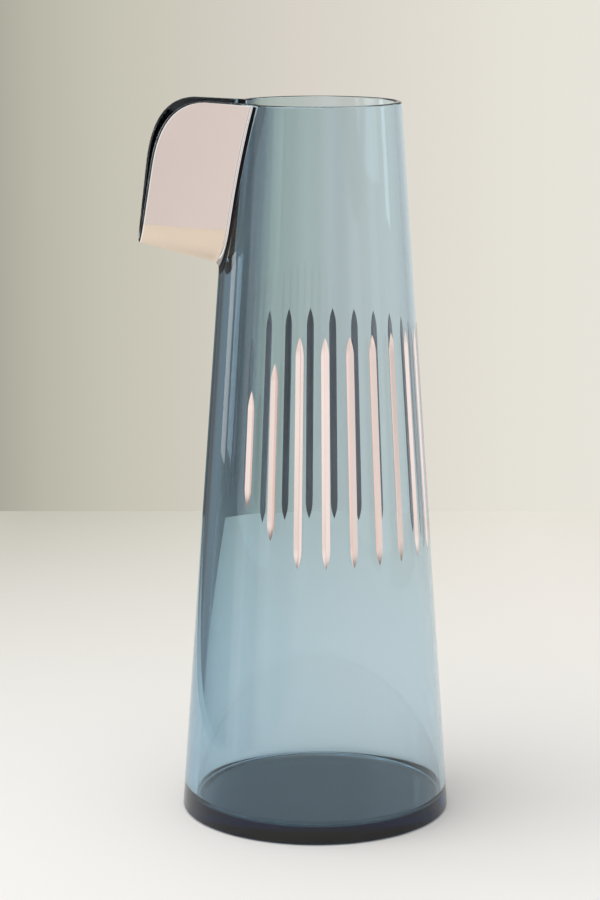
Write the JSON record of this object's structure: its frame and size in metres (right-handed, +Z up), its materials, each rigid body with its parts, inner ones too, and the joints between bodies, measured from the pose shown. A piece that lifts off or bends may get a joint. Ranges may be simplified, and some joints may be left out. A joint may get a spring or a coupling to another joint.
{
  "type": "water carafe",
  "caption": "Tall tapering glass carafe with a thick flat bottom, an open beak for a spout, a rose-gold coat on the beak and metal-lined upright wheel cuts round the body.",
  "frame": {"origin": "middle of the flat underside, on the axis of the round body", "axes": "+Z up along the body's axis, -X towards the tip of the beak, +Y to the beak's right seen from behind the body"},
  "size_m": [0.1243, 0.1078, 0.2864],
  "materials": {
    "smoke_blue_glass": "clear, polished, smoke blue",
    "rose_gold_coat": "polished rose gold",
    "rose_gold_inlay": "bright cut rose gold"
  },
  "bodies": {
    "root": {"glass_body": "smoke_blue_glass", "beak_coat_left": "rose_gold_coat", "beak_coat_right": "rose_gold_coat", "beak_coat_underside": "rose_gold_coat", "cut_inlay_01": "rose_gold_inlay", "cut_inlay_02": "rose_gold_inlay", "cut_inlay_03": "rose_gold_inlay", "cut_inlay_04": "rose_gold_inlay", "cut_inlay_05": "rose_gold_inlay", "cut_inlay_06": "rose_gold_inlay", "cut_inlay_07": "rose_gold_inlay", "cut_inlay_08": "rose_gold_inlay", "cut_inlay_09": "rose_gold_inlay", "cut_inlay_10": "rose_gold_inlay", "cut_inlay_11": "rose_gold_inlay", "cut_inlay_12": "rose_gold_inlay", "cut_inlay_13": "rose_gold_inlay", "cut_inlay_14": "rose_gold_inlay", "cut_inlay_15": "rose_gold_inlay", "cut_inlay_16": "rose_gold_inlay", "cut_inlay_17": "rose_gold_inlay", "cut_inlay_18": "rose_gold_inlay", "cut_inlay_19": "rose_gold_inlay", "cut_inlay_20": "rose_gold_inlay", "cut_inlay_21": "rose_gold_inlay"}
  },
  "joints": []
}
